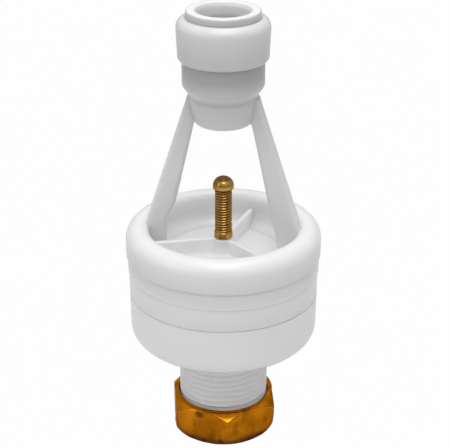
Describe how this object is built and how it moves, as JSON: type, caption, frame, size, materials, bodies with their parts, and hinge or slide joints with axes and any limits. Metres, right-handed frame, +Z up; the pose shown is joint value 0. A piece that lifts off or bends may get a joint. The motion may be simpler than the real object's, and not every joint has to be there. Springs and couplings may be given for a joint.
{
  "type": "self-sealing tundish with float valve",
  "caption": "Plastic tundish with a push-fit inlet above an air gap, a float valve in an open cup and a compression outlet.",
  "frame": {"origin": "centre of the compression nut's lower face, on the valve's axis", "axes": "+Z up along the axis from outlet to inlet, +X through the right-hand arm side, -Y is the front"},
  "size_m": [0.0568, 0.0568, 0.13],
  "materials": {
    "white_cup": "moulded white polypropylene, semi-gloss",
    "white_fitting": "moulded white acetal, semi-gloss",
    "white_inner": "moulded white plastic, inside pieces",
    "brass_nut": "turned and lightly tumbled brass",
    "brass_stem": "turned bright brass",
    "black_rubber": "moulded black rubber",
    "steel": "stainless spring steel"
  },
  "bodies": {
    "housing": {"outlet_neck": "white_cup", "lower_bowl": "white_cup", "bowl_o_ring": "black_rubber", "cup_upper": "white_cup", "cup_rim": "white_cup", "spider": "white_inner", "valve_seat": "white_inner", "inlet_nozzle": "white_fitting", "arm_right": "white_fitting", "arm_left": "white_fitting", "inlet_body": "white_fitting", "inlet_o_ring": "black_rubber"},
    "float": {"seal_disc": "black_rubber", "seal_washer": "steel", "seal_nut": "brass_stem", "stem_nut": "brass_stem", "float_shell": "white_inner", "float_lid": "white_inner", "float_stem": "brass_stem"},
    "seal_spacer": {"spacer_ring": "white_fitting"},
    "cap": {"pushfit_cap": "white_fitting"},
    "release_collet": {"collet": "white_fitting", "collet_teeth": "steel"},
    "compression_ring": {"olive": "brass_nut"},
    "nut": {"compression_nut": "brass_nut"}
  },
  "joints": [
    {"name": "float_lift", "type": "slide", "parent": "housing", "child": "float", "axis": [0, 0, 1], "range_m": [0, 0.004]},
    {"name": "cap_draw", "type": "slide", "parent": "housing", "child": "seal_spacer", "axis": [0, 0, 1], "range_m": [-0.0005, 0]},
    {"name": "cap_turn", "type": "hinge", "parent": "seal_spacer", "child": "cap", "pos_m": [0, 0, 0.122], "axis": [0, 0, 1], "range_deg": [-90, 0]},
    {"name": "collet_press", "type": "slide", "parent": "cap", "child": "release_collet", "axis": [0, 0, 1], "range_m": [-0.0012, 0]},
    {"name": "nut_draw", "type": "slide", "parent": "housing", "child": "compression_ring", "axis": [0, 0, 1], "range_m": [-0.00816, 0]},
    {"name": "nut_turn", "type": "hinge", "parent": "compression_ring", "child": "nut", "pos_m": [0, 0, 0.006], "axis": [0, 0, 1], "range_deg": [-1620, 0]}
  ],
  "couplings": [
    {"joint": "cap_turn", "follows": "cap_draw", "rad_per_m": 3141.6},
    {"joint": "nut_turn", "follows": "nut_draw", "rad_per_m": 3463.7}
  ]
}
